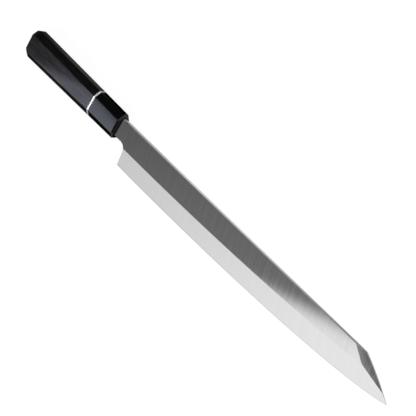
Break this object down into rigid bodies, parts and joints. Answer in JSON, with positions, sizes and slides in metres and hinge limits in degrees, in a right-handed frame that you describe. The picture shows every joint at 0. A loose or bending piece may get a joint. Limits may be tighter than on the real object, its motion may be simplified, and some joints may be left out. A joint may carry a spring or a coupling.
{
  "type": "kiritsuke knife",
  "caption": "Long single-bevel kitchen knife with an angled clip point, hollow ground back and an octagonal black handle with a white spacer.",
  "frame": {"origin": "middle of the base of the bounding box, with the knife lying on the left side of its handle", "axes": "+X from the handle to the tip, +Y from the edge to the spine, +Z out of the blade's right face"},
  "size_m": [0.4884, 0.0472, 0.0181],
  "materials": {
    "blade_steel": "bevel fine satin, flat ground across the blade",
    "black_horn": "polished black horn",
    "white_spacer": "satin white",
    "ebony": "oiled, low sheen",
    "pale_wood": "bare",
    "resin": "cast"
  },
  "bodies": {
    "root": {"blade": "blade_steel", "ferrule": "black_horn", "spacer_ring": "white_spacer", "handle_body": "ebony", "dowel": "pale_wood", "tang_bedding": "resin"}
  },
  "joints": []
}
